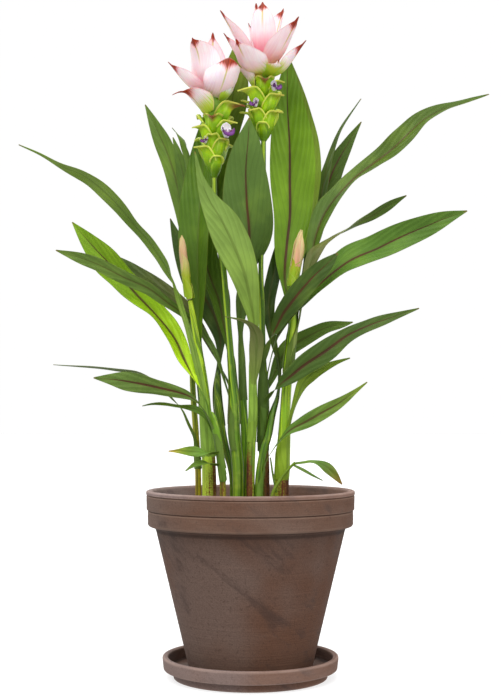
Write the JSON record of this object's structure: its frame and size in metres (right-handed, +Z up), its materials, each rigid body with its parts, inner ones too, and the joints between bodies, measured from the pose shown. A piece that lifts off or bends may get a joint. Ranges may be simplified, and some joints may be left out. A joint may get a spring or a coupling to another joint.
{
  "type": "potted flowering plant",
  "caption": "Siam tulip with long pointed leaves and pink and green flower heads, in a tapered clay pot with a wide collar on a round clay saucer.",
  "frame": {"origin": "centre of the saucer's flat underside, on the surface that it stands on", "axes": "+Z up, -Y towards the front that the picture shows"},
  "size_m": [0.4105, 0.18, 0.5883],
  "materials": {
    "clay": "matt brown fired clay",
    "soil": "dark loose potting soil",
    "stem_green": "smooth green stem, brown at the foot",
    "leaf_green": "satin green leaf with fine side veins and a maroon midrib",
    "bud": "closed bud, green below and cream pink above",
    "bract_green": "waxy yellow-green bract with a pale rim",
    "bract_pink": "soft pale pink bract with a red-brown tip",
    "floret_violet": "small violet and white floret"
  },
  "bodies": {
    "root": {"saucer": "clay", "pot": "clay", "soil": "soil", "stem_outer_left": "stem_green", "stem_thick_left": "stem_green", "stem_front_left": "stem_green", "stem_behind_left": "stem_green", "stem_flower_left": "stem_green", "stem_behind_middle": "stem_green", "stem_front_middle": "stem_green", "stem_flower_right": "stem_green", "stem_front_right": "stem_green", "stem_thick_right": "stem_green", "leaf_tall_left": "leaf_green", "leaf_tall_middle": "leaf_green", "leaf_front_pale": "leaf_green", "leaf_folded_small": "leaf_green", "leaf_tall_right": "leaf_green", "leaf_long_right": "leaf_green", "leaf_narrow_right": "leaf_green", "leaf_dark_upper_right": "leaf_green", "leaf_twisted_right": "leaf_green", "leaf_broad_right": "leaf_green", "leaf_dark_front_right": "leaf_green", "leaf_middle_right_back": "leaf_green", "leaf_middle_right": "leaf_green", "leaf_low_right_narrow": "leaf_green", "leaf_low_right": "leaf_green", "leaf_long_left": "leaf_green", "leaf_outer_left": "leaf_green", "leaf_back_left_upper": "leaf_green", "leaf_back_left_lower": "leaf_green", "leaf_dark_left_back": "leaf_green", "leaf_dark_middle_back": "leaf_green", "leaf_behind_flower": "leaf_green", "leaf_dark_inner_right": "leaf_green", "leaf_bright_left": "leaf_green", "leaf_dark_left": "leaf_green", "leaf_grey_left": "leaf_green", "leaf_low_left": "leaf_green", "leaf_edge_on_left": "leaf_green", "leaf_narrow_low_left": "leaf_green", "leaf_short_left": "leaf_green", "leaf_lowest_left": "leaf_green", "sprig_low_right": "leaf_green", "bud_left": "bud", "bud_right": "bud", "spike_left": "bract_green", "spike_right": "bract_green", "crown_left": "bract_pink", "crown_right": "bract_pink", "floret_left_upper": "floret_violet", "floret_left_lower": "floret_violet", "floret_right_upper": "floret_violet", "floret_right_lower": "floret_violet"}
  },
  "joints": []
}
